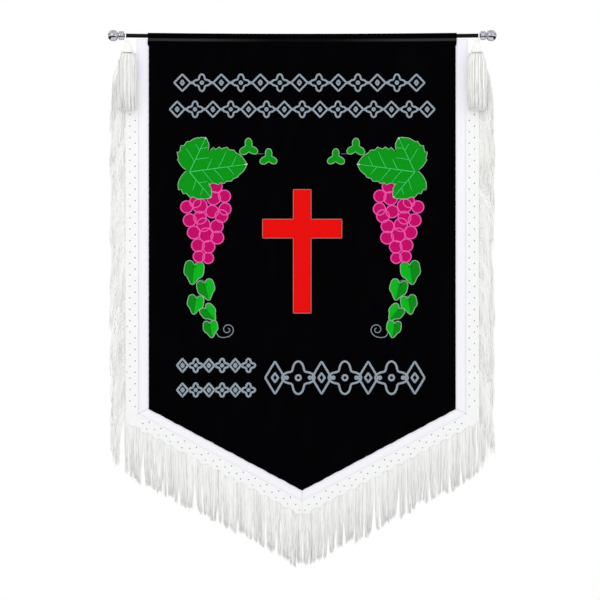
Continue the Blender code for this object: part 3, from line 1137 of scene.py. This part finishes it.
def make_vines(kinds):
    """Both vines. Everything is laid out on the left, and the right one is its mirror image."""
    fills = {name: bmesh.new() for name in ("leaf", "leaf_dark", "leaf_bright", "grape")}
    runs = {name: [] for name in ("rib", "edge", "pale", "grape_cord", "tendril", "stalk")}
    for side in (-1, 1):
        # side -1 is the left vine as laid out; side 1 is its mirror image
        flip = -side
        for order, (x, z, share) in enumerate(GRAPES):
            centre = (x / 1000, z / 1000)
            radius = 0.0124 * share
            base = 0.00010 + 0.00006 * order
            patch = mirrored(circle(centre, radius), side)
            raised_patch(fills["grape"], patch, (flip * centre[0], centre[1]), 0.0009, base)
            ring = circle(centre, radius, 28)
            runs["grape_cord"].append(couched(ring, base + 0.0007, flip, True))
        blades = [Blade(*spec, teeth=0.16) for spec in VINE_LEAF]
        for order, blade in enumerate(blades):
            centre = blade.at(blade.length * 0.45, 0)
            outline = mirrored(blade.outline(), side)
            base = 0.0016 + 0.00004 * order
            raised_patch(fills["leaf"], outline, (flip * centre.x, centre.y), 0.0008, base)
            runs["rib"] += rib_runs(blade, 0.0028, flip, VINE_RIBS[order])
            tips = [blade.at(blade.length * s, 0) for s in (0.96, 1.0, 1.015)]
            runs["pale"].append(couched(tips, 0.0026, flip, shares=[1.0, 1.1, 0.7]))
        runs["edge"] += outline_runs(blades, 0.0022, flip)
        for centre, size, turn in (((-0.1045, -0.2205), 0.0195, 212), ((-0.0655, -0.2400), 0.0185, 210)):
            leaf = trefoil(centre, size, turn)
            patch = mirrored(leaf, side)
            raised_patch(fills["leaf"], patch, (flip * centre[0], centre[1]), 0.0008, 0.0001)
            runs["edge"].append(couched(leaf, 0.0008, flip, True))
        stem = [(-0.0955, -0.2322), (-0.0860, -0.2318), (-0.0760, -0.2322)]
        runs["stalk"].append(couched(stem, 0.0005, flip))
        for x, z, size, turn in CHAIN:
            centre = (x / 1000, z / 1000)
            leaf = heart_leaf(centre, size, turn)
            for name, right in (("leaf_dark", False), ("leaf_bright", True)):
                part = half_leaf(leaf, centre, turn, right)
                aside = (0.3 if right else -0.3) * size
                across = centre[0] + aside * math.cos(math.radians(turn))
                height = centre[1] + aside * math.sin(math.radians(turn))
                patch = mirrored(part, side)
                raised_patch(fills[name], patch, (flip * across, height), 0.0007, 0.0001)
            runs["edge"].append(couched(leaf, 0.0007, flip, True))
        for a, b in zip(CHAIN, CHAIN[1:]):
            joint = [
                (a[0] / 1000, a[1] / 1000 - a[2] * 0.9),
                ((a[0] + b[0]) / 2000 + 0.002, (a[1] + b[1]) / 2000),
                (b[0] / 1000, b[1] / 1000 + b[2] * 0.7),
            ]
            runs["stalk"].append(couched(round_path(joint), 0.0003, flip))
        coil = [(-0.1690, -0.5790), (-0.1640, -0.5885), (-0.1540, -0.5915), (-0.1430, -0.5890)]
        for i in range(20):
            a = -1.15 + i * 0.46
            r = 0.0125 * (1 - i / 24)
            coil.append((-0.1460 + r * math.cos(a), -0.5760 + r * math.sin(a)))
        runs["tendril"].append(couched(round_path(coil), 0.0006, flip))
    names = {
        "grape": ("stitched_grapes", "magenta_stitching"),
        "leaf": ("stitched_vine_leaves", "green_stitching"),
        "leaf_dark": ("stitched_ivy_shaded_halves", "green_stitching"),
        "leaf_bright": ("stitched_ivy_lit_halves", "green_stitching"),
    }
    for kind, (name, slot) in names.items():
        lay_piece(name, finish_mesh(name, fills[kind]), [kinds[kind]])
    cords = {
        "grape_cord": ("grape_outlines", "magenta_stitching", 0.00135),
        "rib": ("leaf_ribs", "green_stitching", 0.00115),
        "edge": ("leaf_outlines", "green_stitching", 0.00085),
        "pale": ("leaf_tips", "silver_stitching", 0.00135),
        "tendril": ("vine_tendrils", "silver_stitching", 0.00095),
        "stalk": ("vine_stalks", "silver_stitching", 0.00085),
    }
    for kind, (name, slot, radius) in cords.items():
        lay_piece(name, cords_mesh(name, runs[kind], radius, 6), [kinds[kind]])


# ---------------------------------------------------------------- cross and silver ornament


def make_cross(red, edge):
    post, bar = CROSS_POST_HALF - 0.0006, CROSS_BAR_HALF - 0.0006
    columns = (-bar, -post, post, bar)
    rows = (CROSS_END + 0.0006, CROSS_BAR_END + 0.0006, CROSS_BAR_TOP - 0.0006, CROSS_TOP - 0.0006)
    bm = bmesh.new()
    bmesh.ops.create_grid(bm, x_segments=3, y_segments=3, size=1.0)
    for vert in bm.verts:
        column, row = round((vert.co.x + 1) * 1.5), round((vert.co.y + 1) * 1.5)
        vert.co = (columns[column], 0, rows[row])
    middles = [(face, face.calc_center_median()) for face in bm.faces]
    spare = [face for face, at in middles if abs(at.x) > post and not rows[1] < at.z < rows[2]]
    bmesh.ops.delete(bm, geom=spare, context="FACES")
    bmesh.ops.bevel(
        bm,
        geom=[v for v in bm.verts if len(v.link_edges) == 2],
        offset=0.0008,
        affect="VERTICES",
        segments=2,
        profile=0.5,
        material=-1,
    )
    for axis, places in ((0, 26), (2, 40)):
        for i in range(1, places):
            low, high = (-bar, bar) if axis == 0 else (rows[0], rows[3])
            spot = [0, 0, 0]
            spot[axis] = low + (high - low) * i / places
            normal = [0, 0, 0]
            normal[axis] = 1
            geom = bm.verts[:] + bm.edges[:] + bm.faces[:]
            bmesh.ops.bisect_plane(bm, geom=geom, dist=0.00001, plane_co=spot, plane_no=normal)
    right_half = ((post, 0), (post, 1), (bar, 1), (bar, 2), (post, 2), (post, 3))
    corners = [(x, rows[row]) for x, row in right_half]
    outline = corners + [(-x, z) for x, z in corners[::-1]]
    inset = bmesh.ops.inset_region(bm, faces=bm.faces[:], thickness=0.0012, use_even_offset=True)["faces"]
    rim = {v for f in inset for v in f.verts if v.is_boundary}
    for vert in bm.verts:
        height = 0.0004 if vert in rim else 0.0012
        vert.co = on_cloth(vert.co.x, vert.co.z, height)
    piece = lay_piece("red_cloth_cross", finish_mesh("red_cloth_cross", bm), [red], ["cross"])
    wall(piece, 0.0008, offset=-1.0)
    points = []
    for i, corner in enumerate(outline):
        following = outline[(i + 1) % len(outline)]
        (x, z), (next_x, next_z) = corner, following
        steps = max(2, round(math.dist(corner, following) / 0.006))
        for j in range(steps):
            points.append((x + (next_x - x) * j / steps, z + (next_z - z) * j / steps))
    mesh = cords_mesh("cross_outline", [couched(points, 0.0008, 1, True)], 0.00085, 6)
    rib = lay_piece("cross_outline", mesh, [edge])


def quatrefoil(centre, size):
    return star_outline(centre, 0, 48, lambda a: size * (0.78 + 0.22 * math.cos(4 * a)))


def lozenge(centre, width, height):
    x, z = centre
    corners = [(x + width, z), (x, z + height), (x - width, z), (x, z - height)]
    points = []
    for i in range(4):
        a, b = corners[i], corners[(i + 1) % 4]
        points += [(a[0] + (b[0] - a[0]) * t, a[1] + (b[1] - a[1]) * t) for t in (0.04, 0.3, 0.6, 0.96)]
    return points


def ornament_row(runs, start, end, middle, height, count):
    """A plain band of lozenges and four-petalled rounds with a dot between each pair."""
    step = (end - start) / count
    for i in range(count):
        x = start + (i + 0.5) * step
        size = height / 2
        if i % 2:
            runs.append(couched(quatrefoil((x, middle), size), ORNAMENT_LIFT, 1, True))
            runs.append(couched(circle((x, middle), size * 0.16, 10), ORNAMENT_LIFT, 1, True))
        else:
            runs.append(couched(lozenge((x, middle), min(size, step * 0.42), size), ORNAMENT_LIFT, 1, True))
            runs.append(couched(lozenge((x, middle), size * 0.2, size * 0.28), ORNAMENT_LIFT, 1, True))
        if i < count - 1:
            runs.append(couched(circle((x + step / 2, middle), size * 0.08, 8), ORNAMENT_LIFT, 1, True))


def make_ornament(silver):
    runs = []
    ornament_row(runs, -0.2535, 0.2425, -0.0930, 0.0330, 13)
    ornament_row(runs, -0.2620, 0.2620, -0.1450, 0.0310, 15)
    mesh = cords_mesh("silver_top_bands", runs, 0.0021, 6)
    lay_piece("silver_top_bands", mesh, [silver])
    runs = []
    ornament_row(runs, -0.2470, -0.0920, -0.6460, 0.0260, 6)
    ornament_row(runs, -0.2470, -0.0920, -0.6940, 0.0260, 6)
    ornament_row(runs, -0.0760, 0.2430, -0.6700, 0.0640, 7)
    mesh = cords_mesh("silver_lower_bands", runs, 0.0024, 6)
    lay_piece("silver_lower_bands", mesh, [silver])


# ---------------------------------------------------------------- stage


def light_card(name, place, aim, size, power):
    lamp = bpy.data.lights.new(name, "AREA")
    lamp.shape = "RECTANGLE"
    lamp.size, lamp.size_y = size
    lamp.energy = power
    holder = bpy.data.objects.new(name, lamp)
    holder.location = place
    holder.rotation_euler = (Vector(aim) - Vector(place)).to_track_quat("-Z", "Y").to_euler()
    bpy.context.scene.collection.objects.link(holder)


def make_stage():
    scene = bpy.context.scene
    scene.view_settings.view_transform = "Standard"
    world = bpy.data.worlds.new("studio")
    scene.world = world
    world.use_nodes = True
    tree = world.node_tree
    tree.nodes.clear()
    out = tree.nodes.new("ShaderNodeOutputWorld")
    plain = tree.nodes.new("ShaderNodeBackground")
    plain.inputs["Color"].default_value = (1, 1, 1, 1)
    plain.inputs["Strength"].default_value = 1.0
    mirrored_room = tree.nodes.new("ShaderNodeBackground")
    ramp = tree.nodes.new("ShaderNodeValToRGB")
    ramp.color_ramp.elements[0].position = 0.0
    ramp.color_ramp.elements[0].color = (0.02, 0.02, 0.025, 1)
    ramp.color_ramp.elements[1].position = 1.0
    ramp.color_ramp.elements[1].color = (0.6, 0.6, 0.62, 1)
    for position, grey in ((0.38, 0.03), (0.47, 0.9), (0.55, 0.75), (0.62, 0.35), (0.8, 0.8)):
        stop = ramp.color_ramp.elements.new(position)
        stop.color = (grey, grey, grey * 1.03, 1)
    place = tree.nodes.new("ShaderNodeTexCoord")
    parts = tree.nodes.new("ShaderNodeSeparateXYZ")
    half = tree.nodes.new("ShaderNodeMath")
    half.operation = "MULTIPLY_ADD"
    half.inputs[1].default_value = 0.5
    half.inputs[2].default_value = 0.5
    rays = tree.nodes.new("ShaderNodeLightPath")
    choose = tree.nodes.new("ShaderNodeMixShader")
    tree.links.new(place.outputs["Generated"], parts.inputs[0])
    tree.links.new(parts.outputs["Z"], half.inputs[0])
    tree.links.new(half.outputs[0], ramp.inputs[0])
    tree.links.new(ramp.outputs[0], mirrored_room.inputs["Color"])
    tree.links.new(rays.outputs["Is Glossy Ray"], choose.inputs[0])
    tree.links.new(plain.outputs[0], choose.inputs[1])
    tree.links.new(mirrored_room.outputs[0], choose.inputs[2])
    tree.links.new(choose.outputs[0], out.inputs[0])

    bm = bmesh.new()
    bmesh.ops.create_grid(bm, x_segments=12, y_segments=12, size=1.6)
    bmesh.ops.translate(bm, verts=bm.verts, vec=(0, 0, -1.52))
    mesh = bpy.data.meshes.new("studio_floor")
    bm.to_mesh(mesh)
    bm.free()
    mesh.materials.append(floor_finish())
    floor = bpy.data.objects.new("studio_floor", mesh)
    scene.collection.objects.link(floor)

    light_card("key_card", (-1.6, -2.6, 1.0), (0, 0, -0.5), (1.6, 1.6), 9)
    light_card("fill_card", (2.0, -2.2, 0.2), (0, 0, -0.5), (1.6, 2.0), 4)

    camera = bpy.data.cameras.new("front_camera")
    camera.sensor_width = 36
    camera.lens = 183.8
    camera.clip_start, camera.clip_end = 0.1, 50
    holder = bpy.data.objects.new("front_camera", camera)
    holder.location = (-0.0043, -6.0, -0.5180)
    holder.rotation_euler = (math.pi / 2, 0, 0)
    scene.collection.objects.link(holder)
    scene.camera = holder


def main():
    make_stage()
    thread = thread_finish("white_fringe_thread", shade(253, 253, 251), shade(244, 245, 242))
    tassel = thread_finish("white_tassel_thread", shade(254, 254, 252), shade(246, 246, 244))
    satin, braid = white_satin(), white_braid()
    make_rod(black_paint())
    make_field(velvet_pile(), velvet_ground())
    chrome = bright_chrome()
    for label, side in (("left", -1), ("right", 1)):
        make_finial(label, side, chrome)
        for kind in ("side", "point"):
            make_satin(kind, label, side, satin)
            make_braid(kind, label, side, braid)
        point_fringe(label, side, thread)
        side_fringe(label, side, thread)
        make_skirt(label, side, tassel)
        make_head(label, side, tassel)
        make_loop(label, side, tassel)
    make_vines(
        {
            "leaf": stitched("leaf_stitching", shade(3, 158, 22), shade(1, 140, 14)),
            "leaf_dark": stitched("shaded_leaf_stitching", shade(2, 146, 22), shade(1, 126, 16), (1, -0.6)),
            "leaf_bright": stitched("lit_leaf_stitching", shade(6, 192, 30), shade(2, 168, 22), (1, 0.6)),
            "grape": stitched("grape_stitching", shade(206, 4, 108), shade(184, 0, 94), (1, 0.1)),
            "rib": corded("leaf_rib_cord", shade(78, 222, 118), shade(46, 196, 88)),
            "edge": corded("leaf_edge_cord", shade(168, 208, 170), shade(104, 176, 112)),
            "pale": corded("leaf_tip_cord", shade(226, 236, 226), shade(190, 206, 190)),
            "grape_cord": corded("grape_outline_cord", shade(255, 104, 190), shade(230, 60, 160)),
            "tendril": corded("tendril_cord", shade(152, 164, 174), shade(124, 136, 146)),
            "stalk": corded("stalk_cord", shade(116, 112, 132), shade(74, 72, 88)),
        }
    )
    red = stitched("red_cross_cloth", shade(240, 10, 6), shade(222, 5, 3), (1, 0), 0.0007, 0.05)
    make_cross(red, corded("cross_edge_cord", shade(214, 120, 112), shade(176, 84, 80)))
    make_ornament(corded("silver_cord", shade(166, 178, 190), shade(134, 147, 157), 0.0022))


main()
